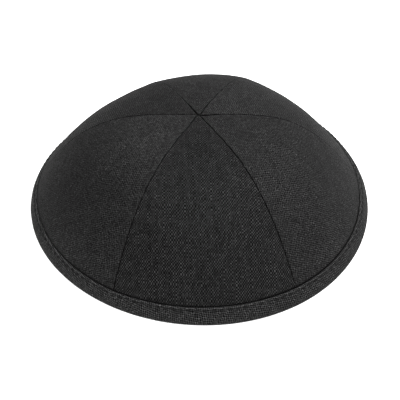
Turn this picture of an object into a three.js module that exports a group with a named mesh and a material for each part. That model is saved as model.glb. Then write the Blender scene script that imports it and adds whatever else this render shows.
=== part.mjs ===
// A six-panel linen kippah. Six sewn cloth panels make the hollow crown, and a folded
// cloth binding wraps their lower edges into the rim that it stands on.
// Millimetres, +Z up. The origin is on the table, under the middle of the hat, and the
// front panel faces -Y. An azimuth is 0 at the front and grows towards +X.

import * as THREE from "three";

// Driving sizes
const RIM_RADIUS = 80;
const CROWN_HEIGHT = 45.9;
const CLOTH_WALL = 1.2;
const SEAM_GAP = 0.3;

// The crown is flat on top and falls ever faster towards the rim: its height drops as
// this power of the distance from the middle.
const CROWN_POWER = 3.38;

// The rim isn't quite round: it swells by this share of its radius at three azimuths, one
// of which is given, and draws in between them.
const RIM_LOBES = { count: 3, share: 0.008, azimuth: 27 };

// The seams meet a little left of the middle of the rim.
const SEAMS_MEET_X = -0.57;

// Each seam runs straight down from the middle at its azimuth. Its fullness is the share
// by which it stands out from the profile halfway down, so a slack seam is negative.
const SEAMS = [
  { name: "back_left", azimuth: -150.4, fullness: -0.1 },
  { name: "left", azimuth: -92.7, fullness: 0.005 },
  { name: "front_left", azimuth: -28.5, fullness: -0.009 },
  { name: "front_right", azimuth: 30.6, fullness: -0.02 },
  { name: "right", azimuth: 91.9, fullness: -0.042 },
  { name: "back_right", azimuth: 152.2, fullness: -0.04 },
];

// Each panel lies between two seams that follow each other in the table above. Its
// flatness goes from 0, round from seam to seam, to 1, pulled straight between them.
const PANELS = [
  { name: "panel_left_back", flatness: 0.24 },
  { name: "panel_left_front", flatness: 0.05 },
  { name: "panel_front", flatness: 0.3 },
  { name: "panel_right_front", flatness: 0.12 },
  { name: "panel_right_back", flatness: 0.21 },
  { name: "panel_back", flatness: 0.18 },
];

// The rim's lobes fade inwards, and the pull of the panels fades outwards, as this power
// of the distance from the middle.
const FADE_POWER = 4;

// The cloth rolls down into each seam over this width, and by this depth. Where a panel
// is narrow, near the tip, each roll has at most this share of its width.
const SEAM_ROLL = { width: 1.4, depth: 0.45, widthShare: 0.2 };

// The binding: its height up the crown, and how far the stitches press the cloth in
// under it. The pressed cloth swells back to its full place over the easing above it.
const BAND_WIDTH = 7.3;
const BAND_PRESS = 0.5;
const BAND_EASING = 0.8;
const PANEL_FOOT = 2.2;

// How finely the cloth is divided
const PANEL_COLUMNS = 14;
const PANEL_ROWS = 17;
const RING_STEPS = 72;

const FULL_TURN = 2 * Math.PI;
const TIP_RADIUS = 0.5;

// The crown's side profile, from its middle down to the rim: x is the radius, y the height.
class CrownProfile extends THREE.Curve {
  getPoint(reach, target = new THREE.Vector2()) {
    return target.set(RIM_RADIUS * reach, CROWN_HEIGHT * (1 - reach ** CROWN_POWER));
  }
}
const meridian = new CrownProfile();
const MERIDIAN_LENGTH = meridian.getLength();

const radians = (degrees) => THREE.MathUtils.degToRad(degrees);
const seamAzimuth = SEAMS.map((seam) => radians(seam.azimuth));

// The share of its radius by which the rim swells out at an azimuth.
function swellAt(azimuth) {
  return RIM_LOBES.share * Math.cos(RIM_LOBES.count * (azimuth - radians(RIM_LOBES.azimuth)));
}

// Where the rim's own middle is, so that the origin is under the middle of its lobed outline.
const rimMiddle = new THREE.Vector2(
  (RIM_RADIUS * (swellAt(-Math.PI / 2) - swellAt(Math.PI / 2))) / 2,
  (RIM_RADIUS * (swellAt(0) - swellAt(Math.PI))) / 2,
);

// The panel that an azimuth falls in, and how far across it, from 0 at its first seam.
function placeInPanel(azimuth) {
  const turn = THREE.MathUtils.euclideanModulo(azimuth - seamAzimuth[0], FULL_TURN);
  let index = SEAMS.length - 1;
  while (index > 0 && turn < seamAzimuth[index] - seamAzimuth[0]) index -= 1;
  const start = seamAzimuth[index] - seamAzimuth[0];
  const isLast = index === SEAMS.length - 1;
  const end = isLast ? FULL_TURN : seamAzimuth[index + 1] - seamAzimuth[0];
  return { index, span: end - start, across: (turn - start) / (end - start) };
}

// A point of the crown's outer face in the upright plane at one azimuth: radius and height.
function profilePoint(azimuth, along) {
  const share = THREE.MathUtils.clamp(1 - along / MERIDIAN_LENGTH, 0, 1);
  const base = meridian.getPointAt(share);
  const reach = base.x / RIM_RADIUS;
  const { index, span, across } = placeInPanel(azimuth);
  const chord = Math.cos(span / 2) / Math.cos((across - 0.5) * span);
  const pull = PANELS[index].flatness * (1 - reach ** FADE_POWER);
  const next = (index + 1) % SEAMS.length;
  const blend = THREE.MathUtils.smoothstep(across, 0, 1);
  const fullness = THREE.MathUtils.lerp(SEAMS[index].fullness, SEAMS[next].fullness, blend);
  // 0 at the middle and at the rim, and 1 between them
  const bulge = 4 * reach ** 2 * (1 - reach ** 2);
  const swell = swellAt(azimuth) * reach ** FADE_POWER;
  const radius = base.x * (1 - pull + pull * chord) * (1 + fullness * bulge) * (1 + swell);
  return new THREE.Vector2(radius, base.y);
}

// A point at an azimuth, a distance from the rim's middle and a height.
function aroundMiddle(azimuth, radius, height) {
  const x = rimMiddle.x + radius * Math.sin(azimuth);
  const y = rimMiddle.y - radius * Math.cos(azimuth);
  return new THREE.Vector3(x, y, height);
}

// A point at an azimuth, a distance along the cloth up from the rim, and a distance out
// from the crown's outer face. Negative distances out are inside the crown.
function crownPoint(azimuth, along, out) {
  const step = 0.5;
  const low = THREE.MathUtils.clamp(along, 0, MERIDIAN_LENGTH - step);
  const here = profilePoint(azimuth, low);
  const climb = profilePoint(azimuth, low + step).sub(here).normalize();
  here.addScaledVector(climb, along - low);
  const radius = here.x + climb.y * out;
  const height = here.y - climb.x * out;
  const point = aroundMiddle(azimuth, radius, height);
  point.x += SEAMS_MEET_X * (1 - Math.min(1, radius / RIM_RADIUS) ** 2);
  return point;
}

// How far the stitches of the binding press the cloth in at a distance up from the rim.
function pressedIn(along) {
  return BAND_PRESS * (1 - THREE.MathUtils.smoothstep(along, BAND_WIDTH, BAND_WIDTH + BAND_EASING));
}

// Distances up from the rim for a panel's rows: two under the binding, two where the
// cloth swells out above it, and the rest evenly up to the tip.
function panelRows() {
  const rows = [PANEL_FOOT, BAND_WIDTH, BAND_WIDTH + BAND_EASING / 2, BAND_WIDTH + BAND_EASING];
  const swollen = rows.at(-1);
  const above = PANEL_ROWS + 1 - rows.length;
  for (let i = 1; i <= above; i += 1) {
    rows.push(THREE.MathUtils.lerp(swollen, MERIDIAN_LENGTH - TIP_RADIUS, i / above));
  }
  return rows;
}

// Distances in from a panel's first edge for its columns: two in each seam's roll, and
// the rest evenly between the rolls.
function panelColumns(width) {
  const roll = Math.min(SEAM_ROLL.width, SEAM_ROLL.widthShare * width);
  const steep = roll / 3;
  const between = PANEL_COLUMNS - 4;
  const columns = [0, steep];
  for (let i = 0; i <= between; i += 1) {
    columns.push(THREE.MathUtils.lerp(roll, width - roll, i / between));
  }
  columns.push(width - steep, width);
  return columns;
}

// One cloth panel: a flat slab with rows and columns, bent onto the crown.
function panelGeometry(index) {
  const slab = new THREE.BoxGeometry(1, 1, 1, PANEL_COLUMNS, PANEL_ROWS, 1);
  const position = slab.attributes.position;
  const start = seamAzimuth[index];
  const end = index + 1 < SEAMS.length ? seamAzimuth[index + 1] : seamAzimuth[0] + FULL_TURN;
  const rows = panelRows();
  for (let i = 0; i < position.count; i += 1) {
    const column = Math.round((position.getX(i) + 0.5) * PANEL_COLUMNS);
    const along = rows[Math.round((position.getY(i) + 0.5) * PANEL_ROWS)];
    const isOuter = position.getZ(i) > 0;
    const radius = profilePoint((start + end) / 2, along).x;
    const setBack = Math.asin(SEAM_GAP / 2 / radius);
    const width = (end - start - 2 * setBack) * radius;
    const fromEdge = panelColumns(width)[column];
    const azimuth = start + setBack + fromEdge / radius;
    const nearEdge = Math.min(fromEdge, width - fromEdge) / SEAM_ROLL.width;
    const roll = SEAM_ROLL.depth * Math.max(0, 1 - nearEdge) ** 2;
    const out = -pressedIn(along) - (isOuter ? roll : CLOTH_WALL);
    const point = crownPoint(azimuth, along, out);
    position.setXYZ(i, point.x, point.y, point.z);
  }
  return slab;
}

// The binding's section as a closed loop, from the outer leg's top edge down its face,
// round the fold and up the inner leg. A foot row stands on the table, and says how far
// in from the rim's radius it is. Any other row is a distance along the cloth up from
// the rim and a distance out from the crown's outer face.
const BINDING_SECTION = [
  { part: "outer leg, back of the top edge", along: BAND_WIDTH - 0.4, out: -0.2 },
  { part: "outer leg, top edge", along: BAND_WIDTH, out: 0.15 },
  { part: "outer leg, top edge rounding", along: BAND_WIDTH - 0.1, out: 0.55 },
  { part: "outer leg, below the top edge", along: BAND_WIDTH - 0.6, out: 0.85 },
  { part: "outer leg, upper face", along: BAND_WIDTH * 0.66, out: 0.95 },
  { part: "outer leg, lower face", along: BAND_WIDTH * 0.33, out: 1.0 },
  { part: "fold, outer rounding", along: 1.1, out: 0.85 },
  { part: "fold, outer foot", foot: -0.15 },
  { part: "fold, inner foot", foot: 2.55 },
  { part: "fold, inner rounding", along: 2.9, out: -2.95 },
  { part: "inner leg, middle", along: BAND_WIDTH * 0.6, out: -3.05 },
  { part: "inner leg, below the top edge", along: BAND_WIDTH - 0.9, out: -2.9 },
  { part: "inner leg, top edge", along: BAND_WIDTH - 0.3, out: -2.5 },
  { part: "inner leg, back of the top edge", along: BAND_WIDTH - 0.7, out: -2.0 },
  { part: "inner leg, back", along: 2.6, out: -2.0 },
  { part: "pocket, inner corner", along: PANEL_FOOT - 0.35, out: -1.7 },
  { part: "pocket, outer corner", along: PANEL_FOOT - 0.35, out: -0.55 },
  { part: "outer leg, back", along: 2.6, out: -0.2 },
];

// The folded binding: a lathed ring of the section, with each point set on the crown.
// The loop runs backwards, because a ring lathed that way has its faces pointing out.
function bindingGeometry() {
  const loop = [...BINDING_SECTION, BINDING_SECTION[0]].reverse();
  const outline = loop.map((row) => new THREE.Vector2(RIM_RADIUS + (row.out ?? 0), row.along ?? 0));
  const ring = new THREE.LatheGeometry(outline, RING_STEPS);
  const position = ring.attributes.position;
  for (let i = 0; i < position.count; i += 1) {
    const row = loop[i % loop.length];
    const azimuth = (Math.floor(i / loop.length) / RING_STEPS) * FULL_TURN;
    const onFoot = row.foot !== undefined;
    const point = onFoot
      ? aroundMiddle(azimuth, RIM_RADIUS * (1 + swellAt(azimuth)) - row.foot, 0)
      : crownPoint(azimuth, row.along, row.out);
    position.setXYZ(i, point.x, point.y, point.z);
  }
  return ring;
}

// Charcoal-black linen, with the binding cut from the same cloth
function linen(name, roughness) {
  return new THREE.MeshStandardMaterial({ name, color: 0x303030, roughness, metalness: 0 });
}

function namedMesh(name, geometry, material) {
  const mesh = new THREE.Mesh(geometry, material);
  mesh.name = name;
  geometry.computeVertexNormals();
  return mesh;
}

const kippah = new THREE.Group();
kippah.name = "kippah";
PANELS.forEach((panel, index) => {
  kippah.add(namedMesh(panel.name, panelGeometry(index), linen("panel_linen", 0.92)));
});
kippah.add(namedMesh("rim_binding", bindingGeometry(), linen("binding_linen", 0.9)));

export default kippah;
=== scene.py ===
"""A black linen kippah that rests on a white table, sewn from six wedges of cloth.

Metres, +Z up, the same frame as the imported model. An azimuth is 0 at the front, which
faces -Y, and grows towards +X. A point on the crown is given by its azimuth, by the
distance along the cloth up from the rim, and by how far it stands out from the cloth.
"""

import math

import bmesh
import bpy
import numpy as np
from mathutils import Matrix, Vector, noise


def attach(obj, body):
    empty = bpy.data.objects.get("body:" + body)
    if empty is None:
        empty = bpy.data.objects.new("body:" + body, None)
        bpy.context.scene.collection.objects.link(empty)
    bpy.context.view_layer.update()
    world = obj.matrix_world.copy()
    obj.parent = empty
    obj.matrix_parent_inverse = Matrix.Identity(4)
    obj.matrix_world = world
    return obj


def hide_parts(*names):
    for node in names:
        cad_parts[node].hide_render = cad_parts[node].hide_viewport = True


MM = 0.001
FULL_TURN = 2 * math.pi

# The crown. Its height falls off with a power of the distance from the middle, and its
# middle lies a little to the left. The rim swells out at three places, by a small share of
# its radius. By the fade power, that dies away up from the rim, and the flatness of the
# panels down from the middle.
RIM_RADIUS = 80 * MM
CROWN_HEIGHT = 45.9 * MM
CROWN_POWER = 3.38
SEAMS_MEET_X = -0.57 * MM
RIM_LOBES = {"count": 3, "share": 0.008, "azimuth": 27}
FADE_POWER = 4
CLOTH_WALL = 1.2 * MM

# Each seam: its azimuth in degrees, how far it stands out from the round profile halfway
# down as a share, where its top end lies beside the middle in mm, how far its cloth edges
# gape near the top in mm, and how deep its crease is at the top, halfway and at the rim, as
# shares; the depth also sets how dark the painted shade in the crease is. The fade is the
# length in mm over which the first depth goes over to the second, and the foot is the length
# over which the crease and its painted shade close above the binding. Three seams meet at
# each of two points 1 mm apart.
SEAMS = {
    "back_left": {
        "azimuth": -150.4, "fullness": -0.1, "top": (-0.48, 0.45), "gape": 0.24,
        "depth": (1, 0.15, 0.6), "fade": 20, "foot": 0.1,
    },
    "left": {
        "azimuth": -92.7, "fullness": 0.005, "top": (-0.48, 0.45), "gape": 0.05,
        "depth": (0.9, 0.2, 0.2), "fade": 75, "foot": 0.1,
    },
    "front_left": {
        "azimuth": -28.5, "fullness": -0.009, "top": (-0.48, 0.45), "gape": 0.06,
        "depth": (0.8, 1, 1), "fade": 12, "foot": 0.1,
    },
    "front_right": {
        "azimuth": 30.6, "fullness": -0.02, "top": (0.48, -0.45), "gape": 0.12,
        "depth": (0.5, 1, 1), "fade": 14, "foot": 5,
    },
    "right": {
        "azimuth": 91.9, "fullness": -0.042, "top": (0.48, -0.45), "gape": 0.32,
        "depth": (1, 0.2, 0.2), "fade": 72, "foot": 0.1,
    },
    "back_right": {
        "azimuth": 152.2, "fullness": -0.04, "top": (0.48, -0.45), "gape": 0.1,
        "depth": (1, 0.3, 0.6), "fade": 35, "foot": 0.1,
    },
}

# Each panel lies between a seam and the next one in the table above. Its flatness goes
# from 0, round from seam to seam, to 1, pulled straight. Its tone is painted sheen and
# shade: how much lighter or darker its cloth is painted beside the others. Its contrast is
# how much its weave is painted to stand out, as the threads of each would take the light
# another way. Its weft threads drop by its skew for each length across it.
PANELS = {
    "panel_left_back": {"flatness": 0.24, "tone": 0.85, "contrast": 0.6, "skew": -0.03},
    "panel_left_front": {"flatness": 0.05, "tone": 0.94, "contrast": 0.45, "skew": 0.05},
    "panel_front": {"flatness": 0.3, "tone": 0.935, "contrast": 1.8, "skew": 0.12},
    "panel_right_front": {"flatness": 0.12, "tone": 0.96, "contrast": 0.65, "skew": -0.04},
    "panel_right_back": {"flatness": 0.21, "tone": 1.02, "contrast": 0.8, "skew": 0.06},
    "panel_back": {"flatness": 0.18, "tone": 0.925, "contrast": 0.6, "skew": 0.02},
}

# How light the binding is, and by what share it is painted lighter at the left and darker at
# the right, as painted light and shade
BINDING_TONE = 1.34
BINDING_SIDE_SHADE = 0.18

# Soft places of painted light and shade, where a panel's cloth is painted lighter or darker:
# the panel, the azimuth in degrees, the distance up from the rim and the reach in mm, and how
# light
PAINTED_LIGHT = [
    {"panel": "panel_left_back", "azimuth": -110, "up": 76, "reach": 20, "light": 0.86},
    {"panel": "panel_left_back", "azimuth": -98, "up": 48, "reach": 20, "light": 1.2},
    {"panel": "panel_left_front", "azimuth": -48, "up": 68, "reach": 22, "light": 1.34},
    {"panel": "panel_left_front", "azimuth": -72, "up": 42, "reach": 22, "light": 0.74},
    {"panel": "panel_left_front", "azimuth": -52, "up": 24, "reach": 18, "light": 0.84},
    {"panel": "panel_left_front", "azimuth": -40, "up": 44, "reach": 12, "light": 0.88},
    {"panel": "panel_left_front", "azimuth": -52, "up": 7, "reach": 15, "light": 1.32},
    {"panel": "panel_left_front", "azimuth": -70, "up": 20, "reach": 11, "light": 0.88},
    {"panel": "panel_left_front", "azimuth": -48, "up": 54, "reach": 12, "light": 0.92},
    {"panel": "panel_front", "azimuth": 0, "up": 78, "reach": 16, "light": 0.8},
    {"panel": "panel_front", "azimuth": 0, "up": 48, "reach": 20, "light": 1.14},
    {"panel": "panel_front", "azimuth": 25, "up": 61, "reach": 9, "light": 1.15},
    {"panel": "panel_front", "azimuth": -27, "up": 55, "reach": 9, "light": 1.12},
    {"panel": "panel_front", "azimuth": -22, "up": 28, "reach": 11, "light": 0.8},
    {"panel": "panel_front", "azimuth": 8, "up": 15, "reach": 14, "light": 0.88},
    {"panel": "panel_right_front", "azimuth": 36, "up": 52, "reach": 12, "light": 1.14},
    {"panel": "panel_right_front", "azimuth": 79, "up": 34, "reach": 17, "light": 0.78},
    {"panel": "panel_right_front", "azimuth": 44, "up": 21, "reach": 16, "light": 0.78},
    {"panel": "panel_right_front", "azimuth": 48, "up": 5, "reach": 12, "light": 1.3},
    {"panel": "panel_right_front", "azimuth": 68, "up": 16, "reach": 11, "light": 0.9},
    {"panel": "panel_right_back", "azimuth": 112, "up": 84, "reach": 14, "light": 1.2},
    {"panel": "panel_right_back", "azimuth": 102, "up": 42, "reach": 24, "light": 0.7},
]

# The cloth's edge rolls down into a seam over this width and by this depth. In a narrow
# place each roll has at most this share of the panel's width. The tip rolls down too.
ROLL_WIDTH = 0.5 * MM
ROLL_DEPTH = 0.7 * MM
ROLL_SHARE = 0.3
TIP_ROLL = 0.45 * MM

# Below this height a crease goes over to its depth at the rim, within this length
LOW_START = 58 * MM
LOW_FADE = 20 * MM

# A seam gapes over this length below the top, and hardly at all under that. The cloth is
# drawn back within this reach of the seam. On the inside the panels are sewn closed.
GAPE_LENGTH = 14 * MM
LEAST_GAPE = 0.03 * MM
GAPE_REACH = 4 * MM
SEAM_CLOSING = 0.03 * MM

# The seams' top ends are drawn to their places beside the middle within this length
TOP_LENGTH = 9 * MM

# The cloth's soft unevenness: the size and the height in mm of its broad and small swells,
# which come from two places of the noise, and how far above the binding and below the tip
# they reach their height
BROAD_SWELL = {"size": 19, "height": 0.22}
SMALL_SWELL = {"size": 7, "height": 0.07}
SMALL_SWELL_PLACE = Vector((9, 4, 2))
SWELL_FROM_BAND = 8 * MM
SWELL_FROM_TIP = 10 * MM

# The binding: how far it reaches up the cloth, how far it presses the cloth in, and the
# length above it over which the cloth comes out again. The panels end inside its fold.
BAND_WIDTH = 7.3 * MM
BAND_PRESS = 0.5 * MM
BAND_EASING = 0.6 * MM
PANEL_FOOT = 2.2 * MM

# The stitches draw the binding in along their row, by these depths in mm: everywhere, and
# more where the thread goes down. The cloth is painted lighter there and darker between, by
# this share: a painted highlight and painted shade along the stitch row.
STITCH_COUNT = 148
STITCH_ROW = BAND_WIDTH - 1.15 * MM
STITCH_REACH = 0.4 * MM
STITCH_DRAW = 0.05
STITCH_DIP = 0.07
STITCH_GLEAM = 0.6

# The binding's outer face puffs out softly here and there, by up to this in mm, and by a
# noise of this scale
PUFF = 0.1
PUFF_SCALE = 9

# The groove above the binding is open at the front within so many degrees of its middle,
# and closes down to its least width further round. Where it is closed, the binding's top
# edge reaches higher up the cloth, and lies lower on it.
GROOVE = {"middle": 10, "open": 34, "closed": 88, "least": 0.1}
EDGE_REACH = 0.4 * MM
EDGE_TAPER = 0.6 * MM

# How far the painted shade of a crease reaches over the cloth beside a seam, at the tip and
# above the binding, and how dark that painted shade is in its depth
SEAM_SHADE = 0.3 * MM
TIP_SHADE = 1.4 * MM
BAND_SHADE = 0.08 * MM
CREASE_DARK = 0.95

# The weave: the spacing of the warp threads, which run up each panel, and of the weft
WARP_PITCH = 0.54 * MM
WEFT_PITCH = 0.71 * MM

# Mesh fineness: the rows of a panel under the binding, at the groove, up the field and at
# the tip, the steps of a roll as shares of its width, and the columns between two rolls
PANEL_ROWS = {"foot": 4, "groove": 9, "field": 88, "tip": 14}
FOOT_END = BAND_WIDTH - 0.4 * MM
GROOVE_START = BAND_WIDTH - 0.1 * MM
TIP_LENGTH = 3 * MM
TIP_RADIUS = 0.02 * MM
ROLL_STEPS = (0, 0.03, 0.1, 0.2, 0.33, 0.5, 0.7, 1)
BETWEEN_COLUMNS = 64
PROFILE_POINTS = 801
SLOPE_STEP = 0.5 * MM
LEAST_RADIUS = 0.5 * MM
MERGE_DISTANCE = 0.001 * MM

SEAM_AZIMUTHS = [math.radians(seam["azimuth"]) for seam in SEAMS.values()]

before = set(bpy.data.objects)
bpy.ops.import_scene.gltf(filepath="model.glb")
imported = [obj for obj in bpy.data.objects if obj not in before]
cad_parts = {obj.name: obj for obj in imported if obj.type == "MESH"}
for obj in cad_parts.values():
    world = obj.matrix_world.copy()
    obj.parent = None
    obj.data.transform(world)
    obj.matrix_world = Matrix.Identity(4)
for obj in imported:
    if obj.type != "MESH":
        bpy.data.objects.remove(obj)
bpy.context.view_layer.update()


# The crown's shape

def profile_table():
    """Reach from the middle as a share of the rim's radius, and the length along the cloth."""
    reach = np.linspace(0, 1, PROFILE_POINTS)
    radius = RIM_RADIUS * reach
    height = CROWN_HEIGHT * (1 - reach**CROWN_POWER)
    steps = np.hypot(np.diff(radius), np.diff(height))
    return reach, np.concatenate([[0], np.cumsum(steps)])


REACH_TABLE, LENGTH_TABLE = profile_table()
MERIDIAN_LENGTH = LENGTH_TABLE[-1]


def smoothstep(x):
    """Eases from 0 to 1 as x does, and stays there beyond."""
    x = np.clip(x, 0, 1)
    return x * x * (3 - 2 * x)


def swell_at(azimuth):
    """The share of its radius by which the rim swells out at an azimuth."""
    return RIM_LOBES["share"] * np.cos(
        RIM_LOBES["count"] * (azimuth - math.radians(RIM_LOBES["azimuth"]))
    )


# Where the rim's own middle is, with the origin under the middle of its lobed outline
RIM_MIDDLE_X = RIM_RADIUS * (swell_at(-math.pi / 2) - swell_at(math.pi / 2)) / 2
RIM_MIDDLE_Y = RIM_RADIUS * (swell_at(0) - swell_at(math.pi)) / 2


def profile_point(azimuth, along):
    """Radius and height of the cloth's outer face, for arrays of azimuths and distances."""
    reach = np.interp(MERIDIAN_LENGTH - along, LENGTH_TABLE, REACH_TABLE)
    starts = np.array(SEAM_AZIMUTHS)
    ends = np.append(starts[1:], starts[0] + FULL_TURN)
    turn = np.mod(azimuth - starts[0], FULL_TURN) + starts[0]
    index = np.clip(np.searchsorted(starts, turn, side="right") - 1, 0, len(starts) - 1)
    span = (ends - starts)[index]
    across = (turn - starts[index]) / span
    chord = np.cos(span / 2) / np.cos((across - 0.5) * span)
    flatness = np.array([panel["flatness"] for panel in PANELS.values()])[index]
    pull = flatness * (1 - reach**FADE_POWER)
    seam_fullness = np.array([seam["fullness"] for seam in SEAMS.values()])
    blend = smoothstep(across)
    next_seam = (index + 1) % len(starts)
    fullness = seam_fullness[index] * (1 - blend) + seam_fullness[next_seam] * blend
    bulge = 4 * reach**2 * (1 - reach**2)
    radius = RIM_RADIUS * reach * (1 - pull + pull * chord) * (1 + fullness * bulge)
    radius = radius * (1 + swell_at(azimuth) * reach**FADE_POWER)
    return radius, CROWN_HEIGHT * (1 - reach**CROWN_POWER)


def around_middle(azimuth, radius, height):
    """Points at azimuths, distances from the rim's middle and heights, as rows."""
    x = RIM_MIDDLE_X + radius * np.sin(azimuth)
    y = RIM_MIDDLE_Y - radius * np.cos(azimuth)
    return np.stack([x, y, height], axis=1)


def crown_points(azimuth, along, out):
    """Points in space, as rows of x, y and z, for arrays of places on the crown."""
    low = np.clip(along, 0, MERIDIAN_LENGTH - SLOPE_STEP)
    radius, height = profile_point(azimuth, low)
    radius_above, height_above = profile_point(azimuth, low + SLOPE_STEP)
    slope = np.hypot(radius_above - radius, height_above - height)
    climb_out = (radius_above - radius) / slope
    climb_up = (height_above - height) / slope
    radius = radius + climb_out * (along - low) + climb_up * out
    height = height + climb_up * (along - low) - climb_out * out
    points = around_middle(azimuth, radius, height)
    points[:, 0] += SEAMS_MEET_X * (1 - np.minimum(1, np.abs(radius) / RIM_RADIUS) ** 2)
    return points


def pressed_in(along):
    """How far the stitches of the binding press the cloth in."""
    return BAND_PRESS * (1 - smoothstep((along - BAND_WIDTH) / BAND_EASING))


# Mesh helpers

def vertex_places(form):
    """Where a form's vertices are, as rows of x, y and z."""
    return np.array([vert.co for vert in form.verts])


def move_vertices(form, points):
    """Moves each vertex of a form to its own point."""
    for vert, point in zip(form.verts, points):
        vert.co = point
    form.normal_update()


def keep_values(form, name, values):
    """Keeps one number for each vertex, under a name that the material reads."""
    layer = form.verts.layers.float.new(name)
    for vert, value in zip(form.verts, values):
        vert[layer] = value


def lay_weave(form, across, up):
    """Lays the cloth's threads on a form: a place across them and up them for each vertex."""
    weave = form.loops.layers.uv.new("weave")
    for face in form.faces:
        for loop in face.loops:
            loop[weave].uv = (across[loop.vert.index], up[loop.vert.index])


def as_object(name, form):
    """A bmesh as a smooth-shaded object of the scene."""
    mesh = bpy.data.meshes.new(name)
    form.to_mesh(mesh)
    form.free()
    mesh.polygons.foreach_set("use_smooth", [True] * len(mesh.polygons))
    obj = bpy.data.objects.new(name, mesh)
    bpy.context.scene.collection.objects.link(obj)
    return obj


def finish_piece(obj, material):
    """Gives a piece its material and its slot, and lets it ride on the hat's one body."""
    obj.data.materials.append(material)
    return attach(obj, "root")


# The panels

def panel_rows():
    """Distances up from the rim for a panel's rows, closer together at the binding and tip."""
    foot = np.linspace(PANEL_FOOT, FOOT_END, PANEL_ROWS["foot"])
    field_start = BAND_WIDTH + BAND_EASING
    groove = np.linspace(GROOVE_START, field_start, PANEL_ROWS["groove"])
    tip_start = MERIDIAN_LENGTH - TIP_LENGTH
    field = np.linspace(field_start, tip_start, PANEL_ROWS["field"])[1:]
    tip = np.linspace(tip_start, MERIDIAN_LENGTH - TIP_RADIUS, PANEL_ROWS["tip"])[1:]
    return np.concatenate([foot, groove, field, tip])


def panel_columns(width):
    """Distances in from a panel's first edge for its columns, at rows of these widths."""
    roll = np.minimum(ROLL_WIDTH, ROLL_SHARE * width)[:, None]
    near = roll * np.array(ROLL_STEPS)
    share = np.linspace(0, 1, BETWEEN_COLUMNS + 1)[1:-1]
    between = roll + (width[:, None] - 2 * roll) * share
    far = width[:, None] - near[:, ::-1]
    return np.concatenate([near, between, far], axis=1)


def cloth_swells(points, along):
    """How far the cloth lies out from its smooth shape: soft, shallow unevenness."""
    swell = []
    for x, y, z in points:
        place = Vector((x, y, z)) / MM
        broad = noise.noise(place / BROAD_SWELL["size"]) * BROAD_SWELL["height"]
        small = noise.noise(place / SMALL_SWELL["size"] + SMALL_SWELL_PLACE)
        swell.append((broad + small * SMALL_SWELL["height"]) * MM)
    settled = smoothstep((along - BAND_WIDTH) / SWELL_FROM_BAND)
    settled *= smoothstep((MERIDIAN_LENGTH - along) / SWELL_FROM_TIP)
    return np.array(swell) * settled


def gape_at(seam, along):
    """Half the gap between the two cloth edges of a seam, which closes below its top."""
    below_top = MERIDIAN_LENGTH - along
    return seam["gape"] * MM * smoothstep(1 - below_top / GAPE_LENGTH) + LEAST_GAPE


def depth_at(seam, along):
    """How deep a seam's crease is, as a share, at distances up from the rim."""
    at_top, halfway, at_rim = seam["depth"]
    below_top = MERIDIAN_LENGTH - along
    depth = halfway + (at_top - halfway) * smoothstep(1 - below_top / (seam["fade"] * MM))
    depth = depth + (at_rim - halfway) * smoothstep((LOW_START - along) / LOW_FADE)
    return depth * smoothstep((along - BAND_WIDTH) / (seam["foot"] * MM))


def groove_at(azimuth):
    """How open the groove above the binding is, as a share, at azimuths."""
    away = np.degrees(azimuth) - GROOVE["middle"]
    away = np.abs(np.mod(away + 180, 360) - 180)
    closed = smoothstep((away - GROOVE["open"]) / (GROOVE["closed"] - GROOVE["open"]))
    return 1 - (1 - GROOVE["least"]) * closed


def painted_light_at(name, points):
    """How much lighter or darker a panel is painted at points of its cloth, by its patches of
    painted light and shade.
    """
    light = np.ones(len(points))
    for place in PAINTED_LIGHT:
        if place["panel"] == name:
            azimuth = np.array([math.radians(place["azimuth"])])
            along = np.array([place["up"] * MM])
            away = np.linalg.norm(points - crown_points(azimuth, along, 0 * along), axis=1)
            light *= 1 + (place["light"] - 1) * np.exp(-((away / (place["reach"] * MM)) ** 2))
    return light


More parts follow.
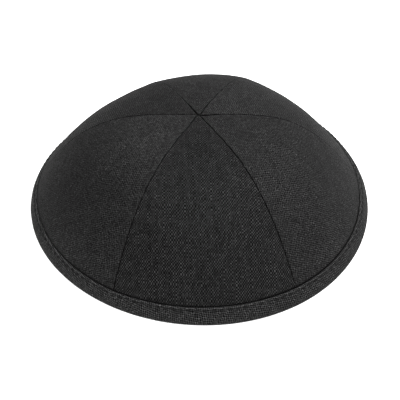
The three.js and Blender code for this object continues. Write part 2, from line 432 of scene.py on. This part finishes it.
def make_panel(index, name, material):
    """One wedge of cloth: a slab of rows and columns, bent onto the crown."""
    seams = list(SEAMS.values())
    first, last = seams[index], seams[(index + 1) % len(seams)]
    start = SEAM_AZIMUTHS[index]
    is_last = index == len(seams) - 1
    end = SEAM_AZIMUTHS[0] + FULL_TURN if is_last else SEAM_AZIMUTHS[index + 1]

    rows = panel_rows()
    middle = np.full(len(rows), (start + end) / 2)
    row_radius = profile_point(middle, rows)[0]
    row_width = (end - start) * row_radius
    columns = panel_columns(row_width)
    column_count = columns.shape[1]

    form = bmesh.new()
    bmesh.ops.create_grid(
        form, x_segments=column_count - 1, y_segments=len(rows) - 1, size=0.5
    )
    outer_skin = bmesh.ops.extrude_face_region(form, geom=form.faces[:])["geom"]
    lifted = [part for part in outer_skin if isinstance(part, bmesh.types.BMVert)]
    bmesh.ops.translate(form, verts=lifted, vec=(0, 0, 1))
    bmesh.ops.recalc_face_normals(form, faces=form.faces)
    places = vertex_places(form)

    column = np.rint((places[:, 0] + 0.5) * (column_count - 1)).astype(int)
    row = np.rint((places[:, 1] + 0.5) * (len(rows) - 1)).astype(int)
    is_outer = places[:, 2] > 0.5
    along = rows[row]
    from_edge = columns[row, column]
    width = row_width[row]
    azimuth = start + (end - start) * from_edge / width

    roll = np.minimum(ROLL_WIDTH, ROLL_SHARE * width)
    edge_distance = np.minimum(from_edge, width - from_edge)
    steepness = 1 - np.clip(edge_distance / roll, 0, 1)
    share = from_edge / width
    depth = np.where(share < 0.5, depth_at(first, along), depth_at(last, along))
    rolled = depth * ROLL_DEPTH * (1 - np.sqrt(1 - steepness**2))
    tip_steepness = 1 - np.clip((MERIDIAN_LENGTH - along) / TIP_ROLL, 0, 1)
    rolled = np.maximum(rolled, ROLL_DEPTH * (1 - np.sqrt(1 - tip_steepness**2)))
    out = -pressed_in(along) - np.where(is_outer, rolled, CLOTH_WALL)
    smooth_points = crown_points(azimuth, along, np.zeros(len(along)))
    out = out + cloth_swells(smooth_points, along)

    # Drawn back from the seams by their gape on the outer face, closed up to the next panel
    # on the inner one, and gathered to the seams' top ends
    gape_first = np.where(is_outer, gape_at(first, along), -SEAM_CLOSING)
    gape_last = np.where(is_outer, gape_at(last, along), -SEAM_CLOSING)
    keep_off = gape_first * (1 - share) - gape_last * share
    keep_off *= smoothstep(1 - edge_distance / GAPE_REACH)
    azimuth = azimuth + keep_off / np.maximum(row_radius[row], LEAST_RADIUS)
    is_inner_tip = ~is_outer & (row == len(rows) - 1)
    along = along + is_inner_tip * (TIP_RADIUS + SEAM_CLOSING)
    points = crown_points(azimuth, along, out)
    near_top = smoothstep(1 - (MERIDIAN_LENGTH - along) / TOP_LENGTH)
    for axis in (0, 1):
        shift = (first["top"][axis] * (1 - share) + last["top"][axis] * share) * MM
        points[:, axis] += shift * near_top

    # The panel was cut flat, so its weft runs straight across it, and not along the rim
    across = from_edge - width / 2
    bend = -np.gradient(row_radius, rows) / row_radius
    lay_weave(form, across, along + PANELS[name]["skew"] * across + bend[row] * across**2 / 2)
    move_vertices(form, points)
    # Painted shade in the creases beside the seams, at the tip and above the binding, laid over
    # the panel's painted tone and its patches of painted light and shade
    at_seam = depth * smoothstep(1 - edge_distance / SEAM_SHADE)
    at_tip = smoothstep(1 - (MERIDIAN_LENGTH - along) / TIP_SHADE)
    at_band = groove_at(azimuth) * smoothstep(1 - (along - BAND_WIDTH) / BAND_SHADE)
    crease = np.maximum(np.maximum(at_seam, at_tip), at_band)
    tone = PANELS[name]["tone"] * painted_light_at(name, smooth_points)
    keep_values(form, "shade", tone * (1 - CREASE_DARK * crease))
    keep_values(form, "contrast", np.full(len(along), PANELS[name]["contrast"]))
    obj = as_object(name + "_cloth", form)
    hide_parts(name)
    return finish_piece(obj, material)


# The binding

# Its section, from the outer leg's top edge down its face, round the fold and up the
# inner leg. A foot row stands on the table, and says how far in from the rim it is. Any
# other row is a distance up from the rim and a distance out from the cloth, in mm. Light
# is painted light and shade: how much lighter or darker the cloth is painted there beside the
# rest of the binding, with painted shade in the groove behind the top edge and at the stitch
# row, and a painted highlight just below the top edge.
BINDING_SECTION = [
    {"part": "outer leg, back of the top edge", "along": 6.8, "out": -0.25, "light": 0.05},
    {"part": "outer leg, top edge", "along": 7.3, "out": -0.1, "light": 0.05},
    {"part": "outer leg, top edge rounding", "along": 7.35, "out": 0.6, "light": 0.9},
    {"part": "outer leg, below the top edge", "along": 7.0, "out": 1.0, "light": 1.7},
    {"part": "outer leg, above the stitches", "along": 6.5, "out": 0.95, "light": 0.9},
    {"part": "outer leg, stitch row", "along": 6.15, "out": 0.78, "light": 0.6},
    {"part": "outer leg, below the stitches", "along": 5.8, "out": 0.95},
    {"part": "outer leg, upper face", "along": 4.9, "out": 1.02},
    {"part": "outer leg, lower face", "along": 2.7, "out": 1.02},
    {"part": "fold, outer rounding", "along": 1.1, "out": 0.85},
    {"part": "fold, outer foot", "foot": -0.15},
    {"part": "fold, foot", "foot": 1.2},
    {"part": "fold, inner foot", "foot": 2.55},
    {"part": "fold, inner rounding", "along": 2.9, "out": -2.95},
    {"part": "inner leg, middle", "along": 4.4, "out": -3.05},
    {"part": "inner leg, stitch row", "along": 5.7, "out": -2.8},
    {"part": "inner leg, below the top edge", "along": 6.4, "out": -2.95},
    {"part": "inner leg, top edge", "along": 7.0, "out": -2.5},
    {"part": "inner leg, back of the top edge", "along": 6.6, "out": -1.9},
    {"part": "inner leg, back", "along": 2.6, "out": -1.9},
    {"part": "pocket, inner corner", "along": 1.85, "out": -1.65},
    {"part": "pocket, outer corner", "along": 1.85, "out": -0.6},
    {"part": "outer leg, back", "along": 2.6, "out": -0.25},
]

# What stands out further than this is the binding's outer face
OUTER_FACE = 0.5 * MM
STEPS_PER_STITCH = 6


def section_column(key):
    """One column of the section's table in metres, with the first row again at the end."""
    rows = BINDING_SECTION + BINDING_SECTION[:1]
    return np.array([row.get(key, np.nan) for row in rows]) * MM


def make_binding(material):
    """The folded strip: a grid of section by ring, set round the crown and closed up."""
    parts, turns = len(BINDING_SECTION), STITCH_COUNT * STEPS_PER_STITCH
    form = bmesh.new()
    bmesh.ops.create_grid(form, x_segments=parts, y_segments=turns, size=0.5)
    places = vertex_places(form)
    part = np.rint((places[:, 0] + 0.5) * parts).astype(int)
    azimuth = (places[:, 1] + 0.5) * FULL_TURN
    along, out, foot = (section_column(key)[part] for key in ("along", "out", "foot"))
    on_foot = ~np.isnan(foot)
    along, out, foot = (np.nan_to_num(values) for values in (along, out, foot))

    # The stitches draw the cloth in, most where the thread goes down between two of them
    phase = np.cos(azimuth * STITCH_COUNT)
    drawn = np.exp(-(((along - STITCH_ROW) / STITCH_REACH) ** 2))
    around = [Vector((math.sin(turn), math.cos(turn), 0)) for turn in azimuth]
    puffed = np.array([noise.noise(place * PUFF_SCALE) for place in around])
    is_outer_face = out > OUTER_FACE
    out = out - is_outer_face * drawn * (STITCH_DRAW + STITCH_DIP * phase) * MM
    out = out + is_outer_face * puffed * PUFF * MM

    # The section's first two rows are the back of the outer leg's top edge
    at_edge = smoothstep((along - STITCH_ROW) / (BAND_WIDTH - STITCH_ROW))
    closed = at_edge * (1 - groove_at(azimuth)) * (is_outer_face | (part % parts < 2))
    out = out - is_outer_face * closed * EDGE_TAPER
    along = along + closed * EDGE_REACH
    points = crown_points(azimuth, along, out)
    foot_radius = RIM_RADIUS * (1 + swell_at(azimuth)) - foot
    points[on_foot] = around_middle(azimuth, foot_radius, 0 * azimuth)[on_foot]

    flat = np.stack([along, out - foot], axis=1)[np.argsort(part, kind="stable")[:: turns + 1]]
    girth = np.concatenate([[0], np.cumsum(np.hypot(*np.diff(flat, axis=0).T))])
    lay_weave(form, azimuth * RIM_RADIUS, girth[part])
    move_vertices(form, points)
    # Painted light and shade on the binding: the section's painted shade and highlight, lighter
    # and darker in turn along the stitch row, and lighter at the left and darker at the right
    light = np.nan_to_num(section_column("light") / MM, nan=1)[part]
    light = light * (1 + STITCH_GLEAM * phase * drawn)
    keep_values(form, "shade", BINDING_TONE * (1 - BINDING_SIDE_SHADE * np.sin(azimuth)) * light)
    keep_values(form, "contrast", np.ones(len(along)))
    bmesh.ops.remove_doubles(form, verts=form.verts, dist=MERGE_DISTANCE)
    bmesh.ops.recalc_face_normals(form, faces=form.faces)
    obj = as_object("rim_binding_cloth", form)
    rounding = obj.modifiers.new("rounding", "SUBSURF")
    rounding.levels = 1
    rounding.render_levels = 1
    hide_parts("rim_binding")
    return finish_piece(obj, material)


# The machine stitches: how far up the binding each row lies, how far out from the cloth, and
# how far the middle of a stitch bows out
STITCH_ROWS = [
    {"leg": "outer", "along": STITCH_ROW, "out": 0.82 * MM, "bow": 0.12 * MM},
    {"leg": "inner", "along": 5.7 * MM, "out": -2.8 * MM, "bow": -0.1 * MM},
]

# A stitch: its thickness, its length as a share of the spacing, its slant in degrees and
# the number of its sides
STITCH_THICKNESS = 0.34 * MM
STITCH_SHARE = 0.74
STITCH_SLANT = 5
STITCH_SEGMENTS = 8


def make_stitches(material):
    """Rows of stitches: one stitch each, repeated round the rim and set on the crown."""
    form = bmesh.new()
    length = STITCH_SHARE * FULL_TURN * RIM_RADIUS / STITCH_COUNT
    lie_down = Matrix.Rotation(math.radians(90 - STITCH_SLANT), 3, "X")
    for row in STITCH_ROWS:
        stitch = bmesh.ops.create_uvsphere(
            form, u_segments=STITCH_SEGMENTS, v_segments=STITCH_SEGMENTS, radius=0.5
        )["verts"]
        bmesh.ops.scale(form, verts=stitch, vec=(STITCH_THICKNESS, STITCH_THICKNESS, length))
        bmesh.ops.rotate(form, verts=stitch, matrix=lie_down)
        bmesh.ops.translate(form, verts=stitch, vec=(RIM_RADIUS + row["out"], 0, row["along"]))
        for vert in stitch:
            vert.co.x += row["bow"] * (1 - (2 * vert.co.y / length) ** 2)
        around = {edge for vert in stitch for edge in vert.link_edges}
        faces = {face for vert in stitch for face in vert.link_faces}
        bmesh.ops.spin(
            form, geom=stitch + list(around) + list(faces), cent=(0, 0, 0), axis=(0, 0, 1),
            dvec=(0, 0, 0), angle=FULL_TURN * (1 - 1 / STITCH_COUNT), steps=STITCH_COUNT - 1,
            use_merge=False, use_duplicate=True, use_normal_flip=False,
        )
    places = vertex_places(form)
    azimuth = np.arctan2(places[:, 1], places[:, 0]) + math.pi / STITCH_COUNT
    out = np.hypot(places[:, 0], places[:, 1]) - RIM_RADIUS
    move_vertices(form, crown_points(azimuth, places[:, 2], out))
    bmesh.ops.recalc_face_normals(form, faces=form.faces)
    return finish_piece(as_object("binding_stitches", form), material)


# Materials

# How light the cloth is
CLOTH_BRIGHTNESS = 0.0136

# The panels are cut along the threads, and the binding on the bias, at this angle to them
BIAS_ANGLE = 45

# The threads wander slowly, and are jostled out of their even spacing by this many threads.
# The jostling changes by this scale across the threads, and by a small share of it along
# them.
WANDER_SCALE = 0.05
JOSTLE = 1.9
JOSTLE_SCALE = 0.35
STREAK_SHARE = 0.06

# How light a thread is at its thinnest and its thickest, and how quickly that changes along
# a warp and a weft thread. Each thread has its own stretch of the noise, this far from the
# next one's.
SLUB_TONE = (0.7, 1.3)
SLUB_CHANGE = {"warp": 0.16, "weft": 0.13}
SLUB_SPACING = 17.3

# The weave is tighter and looser by a noise of this scale, in its own layer. It goes from
# tight to loose within this span of the noise.
LOOSE_SCALE = 0.5
LOOSE_LAYER = 9
LOOSE_SPAN = (0.37, 0.63)

# How much lighter the warp is than the weft, where the weave is tight and where it is loose,
# and how sharply one gives way to the other. The last share of the warp threads is bold,
# and stands out by up to this much more.
FLOAT_TONE = (0.1, 2.8)
FLOAT_SHARPNESS = 4
BOLD_SHARE = 0.08
BOLD_TONE = 1.6

# By what share one crossing may be lighter or darker than the next, where the contrast is 1,
# and how light even the darkest one is
CELL_TONE = 0.26
DARKEST_TONE = 0.03

# The fuzz of the fibres, which is gone where the weave stands out in full
FUZZ_SCALE = 0.85
FUZZ_TONE = 0.45
LEAST_FUZZ = 0.1
FULL_CONTRAST = 1.8

# Most of a soft noise lies in this span
NOISE_SPAN = (0.3, 0.7)

# The relief of the threads, and how the cloth takes the light
WEAVE_BUMP = 0.7
WEAVE_RELIEF = 0.12 * MM
LINEN_GLOSS = {
    "Roughness": 0.95, "Specular IOR Level": 0.1, "Sheen Weight": 0.005, "Sheen Roughness": 0.4,
}

# The sewing thread: how dark it is, how fine and deep its twist is, and how it takes light
THREAD_TONE = (0.004, 0.012)
TWIST_SCALE = 2600
TWIST_BUMP = 0.5
TWIST_RELIEF = 0.05 * MM
THREAD_GLOSS = {"Roughness": 0.9, "Specular IOR Level": 0.1}


class Nodes:
    """Adds shader nodes to one material, each with its inputs given by name."""

    def __init__(self, name):
        self.material = bpy.data.materials.new(name)
        self.material.use_nodes = True
        self.tree = self.material.node_tree
        self.shader = self.tree.nodes["Principled BSDF"]

    def add(self, kind, inputs=None, **settings):
        node = self.tree.nodes.new(kind)
        for key, value in settings.items():
            setattr(node, key, value)
        for key, value in (inputs or {}).items():
            self.put(node.inputs[key], value)
        return node

    def put(self, socket, value):
        """Links a socket to another one, or sets its value."""
        if isinstance(value, bpy.types.NodeSocket):
            self.tree.links.new(value, socket)
        else:
            socket.default_value = value

    def gloss(self, values):
        """Sets how the surface takes the light, which is the same all over."""
        for key, value in values.items():
            self.put(self.shader.inputs[key], value)

    def math(self, operation, first, second=0.0):
        node = self.add("ShaderNodeMath", {0: first, 1: second}, operation=operation)
        return node.outputs[0]

    def vector(self, operation, first, second=(0, 0, 0)):
        node = self.add("ShaderNodeVectorMath", {0: first, 1: second}, operation=operation)
        return node.outputs[0]

    def spread(self, value, low, high, start=0.0, end=1.0):
        """A value between start and end as one from low to high."""
        ranges = {"From Min": start, "From Max": end, "To Min": low, "To Max": high}
        return self.add("ShaderNodeMapRange", {"Value": value, **ranges}).outputs[0]

    def noise(self, place, scale, detail=2.0):
        inputs = {"Vector": place, "Scale": scale, "Detail": detail}
        return self.add("ShaderNodeTexNoise", inputs)


def linen(name, cut_angle):
    """Plain-weave linen: uneven threads that go over and under each other, with slubs."""
    nodes = Nodes(name)
    weave_map = nodes.add("ShaderNodeUVMap", uv_map="weave").outputs[0]
    turned = nodes.add(
        "ShaderNodeMapping", {"Vector": weave_map, "Rotation": (0, 0, math.radians(cut_angle))}
    ).outputs[0]
    threads = nodes.vector("MULTIPLY", turned, (1 / WARP_PITCH, 1 / WEFT_PITCH, 1))
    wander = nodes.noise(threads, WANDER_SCALE).outputs["Color"]
    threads = nodes.vector("ADD", threads, wander)

    def streaks(scale, layer, up_warp):
        """Noise that changes quickly across one set of threads, and slowly along it."""
        slow = scale * STREAK_SHARE
        stretch = (scale, slow, 0) if up_warp else (slow, scale, 0)
        place = nodes.vector("MULTIPLY", threads, stretch)
        return nodes.noise(nodes.vector("ADD", place, (0, 0, layer)), 1.0, 1.0).outputs["Fac"]

    # The threads are not evenly spaced, and are looser in some places than in others
    jostled = [streaks(JOSTLE_SCALE, 0, up_warp) for up_warp in (True, False)]
    jostled = [nodes.math("MULTIPLY", value, JOSTLE) for value in jostled]
    jostle = nodes.add("ShaderNodeCombineXYZ", dict(enumerate(jostled))).outputs[0]
    loose = [streaks(LOOSE_SCALE, LOOSE_LAYER, up_warp) for up_warp in (True, False)]
    looseness = nodes.math("MULTIPLY", nodes.math("ADD", loose[0], loose[1]), 0.5)
    threads = nodes.vector("ADD", threads, jostle)

    # A crossing is positive where a warp thread is on top, and negative where a weft one is
    split = nodes.add("ShaderNodeSeparateXYZ", {0: threads})
    warp_wave = nodes.math("SINE", nodes.math("MULTIPLY", split.outputs[0], math.pi))
    weft_wave = nodes.math("SINE", nodes.math("MULTIPLY", split.outputs[1], math.pi))
    crossing = nodes.math("MULTIPLY", warp_wave, weft_wave)
    warp_on_top = nodes.math("GREATER_THAN", crossing, 0.0)

    # Each crossing differs a little from the next, and some warp threads are bold
    number = nodes.vector("FLOOR", threads)
    chance = nodes.add("ShaderNodeTexWhiteNoise", {"Vector": number}).outputs["Value"]
    warp_number = nodes.vector("MULTIPLY", number, (1, 0, 0))
    warp_chance = nodes.add("ShaderNodeTexWhiteNoise", {"Vector": warp_number}).outputs["Value"]
    bold = nodes.spread(warp_chance, 0, BOLD_TONE, 1 - BOLD_SHARE, 1)

    def slubs(spacing, change):
        """How light each thread is along its length, where it is thicker and thinner."""
        own_place = nodes.vector("MULTIPLY", number, spacing)
        run = nodes.vector("MULTIPLY", threads, change)
        value = nodes.noise(nodes.vector("ADD", own_place, run), 1.0, 1.0).outputs["Fac"]
        return nodes.spread(value, *SLUB_TONE, *NOISE_SPAN)

    weft_slubs = slubs((0, SLUB_SPACING, 0), (SLUB_CHANGE["weft"], 0, 0))
    warp_slubs = slubs((SLUB_SPACING, 0, 0), (0, SLUB_CHANGE["warp"], 0))
    slub = nodes.add("ShaderNodeMix", {0: warp_on_top, 2: weft_slubs, 3: warp_slubs}).outputs[0]

    # Where a warp thread is on top the cloth is lighter than where a weft one is
    floats = nodes.spread(crossing, -1, 1, -1 / FLOAT_SHARPNESS, 1 / FLOAT_SHARPNESS)
    strength = nodes.spread(looseness, *FLOAT_TONE, *LOOSE_SPAN)
    strength = nodes.math("ADD", strength, bold)
    contrast = nodes.add("ShaderNodeAttribute", attribute_name="contrast").outputs["Fac"]
    strength = nodes.math("MULTIPLY", strength, contrast)
    cell_change = nodes.math("MULTIPLY", nodes.spread(chance, -CELL_TONE, CELL_TONE), contrast)
    cell_tone = nodes.math("ADD", cell_change, 1.0)
    float_tone = nodes.math("MULTIPLY", floats, strength)
    tone = nodes.math("MAXIMUM", nodes.math("ADD", float_tone, 1.0), DARKEST_TONE)
    mean_tone = nodes.math("MULTIPLY", nodes.math("ADD", strength, 1.0), 0.5)
    tone = nodes.math("DIVIDE", tone, nodes.math("MAXIMUM", mean_tone, 1.0))
    tone = nodes.math("MULTIPLY", nodes.math("MULTIPLY", tone, slub), cell_tone)

    # The fuzz of the fibres shows most where the weave stands out least
    fuzz = nodes.noise(threads, FUZZ_SCALE, 1.0).outputs["Fac"]
    fuzz = nodes.spread(fuzz, -FUZZ_TONE, FUZZ_TONE, *NOISE_SPAN)
    calm = nodes.math("SUBTRACT", FULL_CONTRAST, contrast)
    fuzz = nodes.math("ADD", nodes.math("MULTIPLY", fuzz, calm), 1.0)
    tone = nodes.math("MULTIPLY", tone, nodes.math("MAXIMUM", fuzz, LEAST_FUZZ))
    shade = nodes.add("ShaderNodeAttribute", attribute_name="shade").outputs["Fac"]
    tone = nodes.math("MULTIPLY", tone, nodes.math("MULTIPLY", shade, CLOTH_BRIGHTNESS))
    colour = nodes.add("ShaderNodeCombineColor", {0: tone, 1: tone, 2: tone}).outputs[0]
    relief = nodes.math("MULTIPLY", nodes.math("ABSOLUTE", crossing), slub)
    bump = nodes.add(
        "ShaderNodeBump", {"Strength": WEAVE_BUMP, "Distance": WEAVE_RELIEF, "Height": relief}
    )
    nodes.put(nodes.shader.inputs["Base Color"], colour)
    nodes.put(nodes.shader.inputs["Normal"], bump.outputs[0])
    nodes.gloss(LINEN_GLOSS)
    return nodes.material


def thread():
    """Matt black sewing thread, with its twist as fine relief."""
    nodes = Nodes("black_thread")
    place = nodes.add("ShaderNodeTexCoord").outputs["Object"]
    twist = nodes.noise(place, TWIST_SCALE).outputs["Fac"]
    tone = nodes.spread(twist, *THREAD_TONE)
    colour = nodes.add("ShaderNodeCombineColor", {0: tone, 1: tone, 2: tone}).outputs[0]
    bump = nodes.add(
        "ShaderNodeBump", {"Strength": TWIST_BUMP, "Distance": TWIST_RELIEF, "Height": twist}
    )
    nodes.put(nodes.shader.inputs["Base Color"], colour)
    nodes.put(nodes.shader.inputs["Normal"], bump.outputs[0])
    nodes.gloss(THREAD_GLOSS)
    return nodes.material


# Camera, lights and table

CAMERA_ELEVATION = 43.13
CAMERA_DISTANCE = 360 * MM
CAMERA_TARGET = Vector((0.32, 0.1, -5.46)) * MM
CAMERA_ROLL = -0.5
CAMERA_LENS = 66.5
CAMERA_SENSOR = 36
CAMERA_CLIP = (0.01, 20)

# The room is white to look at, and this bright as a light. Two softboxes add to it.
ROOM_LIGHT = 0.53
SOFTBOXES = [
    {"name": "softbox_right", "azimuth": 122, "elevation": 50, "power": 22},
    {"name": "softbox_left", "azimuth": -25, "elevation": 50, "power": 9},
]
SOFTBOX_DISTANCE = 1.2
SOFTBOX_SIZE = 0.7

# The table is this many metres from its middle to each edge
TABLE_REACH = 4
TABLE_COLOUR = (0.9, 0.9, 0.9, 1)
TABLE_GLOW = 0.5
TABLE_ROUGHNESS = 0.9
WHITE = (1, 1, 1, 1)


def make_camera():
    """The camera, in front of the kippah and above it."""
    data = bpy.data.cameras.new("camera")
    data.lens = CAMERA_LENS
    data.sensor_width = CAMERA_SENSOR
    data.clip_start, data.clip_end = CAMERA_CLIP
    camera = bpy.data.objects.new("camera", data)
    elevation = math.radians(CAMERA_ELEVATION)
    back = Vector((0, -math.cos(elevation), math.sin(elevation)))
    aim = (-back).to_track_quat("-Z", "Y").to_matrix().to_4x4()
    roll = Matrix.Rotation(math.radians(CAMERA_ROLL), 4, "Z")
    camera.matrix_world = Matrix.Translation(CAMERA_TARGET + back * CAMERA_DISTANCE) @ aim @ roll
    bpy.context.scene.collection.objects.link(camera)
    bpy.context.scene.camera = camera


def make_softbox(name, azimuth, elevation, power):
    """A square softbox that faces the kippah."""
    data = bpy.data.lights.new(name, "AREA")
    data.size = SOFTBOX_SIZE
    data.energy = power
    light = bpy.data.objects.new(name, data)
    turn, rise = math.radians(azimuth), math.radians(elevation)
    back = Vector(
        (math.sin(turn) * math.cos(rise), -math.cos(turn) * math.cos(rise), math.sin(rise))
    )
    aim = (-back).to_track_quat("-Z", "Y").to_matrix().to_4x4()
    light.matrix_world = Matrix.Translation(back * SOFTBOX_DISTANCE) @ aim
    bpy.context.scene.collection.objects.link(light)


def make_table():
    """A white table with a light under it, so that no shadow shows beside the kippah."""
    form = bmesh.new()
    bmesh.ops.create_grid(form, x_segments=1, y_segments=1, size=TABLE_REACH)
    table = as_object("table", form)
    nodes = Nodes("white_table")
    nodes.put(nodes.shader.inputs["Base Color"], TABLE_COLOUR)
    nodes.put(nodes.shader.inputs["Roughness"], TABLE_ROUGHNESS)
    nodes.put(nodes.shader.inputs["Emission Color"], WHITE)
    nodes.put(nodes.shader.inputs["Emission Strength"], TABLE_GLOW)
    table.data.materials.append(nodes.material)


def make_studio():
    """A white room that lights the kippah softly from all round, and two softboxes."""
    scene = bpy.context.scene
    scene.view_settings.view_transform = "Standard"
    scene.world = bpy.data.worlds.new("studio")
    scene.world.use_nodes = True
    tree = scene.world.node_tree
    ray = tree.nodes.new("ShaderNodeLightPath")
    seen = tree.nodes.new("ShaderNodeMapRange")
    seen.inputs["To Min"].default_value = ROOM_LIGHT
    seen.inputs["To Max"].default_value = 1
    background = tree.nodes["Background"]
    background.inputs["Color"].default_value = WHITE
    tree.links.new(ray.outputs["Is Camera Ray"], seen.inputs["Value"])
    tree.links.new(seen.outputs[0], background.inputs["Strength"])
    for softbox in SOFTBOXES:
        make_softbox(**softbox)


make_camera()
make_studio()
make_table()
panel_cloth = linen("panel_linen", 0)
for number, panel_name in enumerate(PANELS):
    make_panel(number, panel_name, panel_cloth)
make_binding(linen("binding_linen", BIAS_ANGLE))
make_stitches(thread())
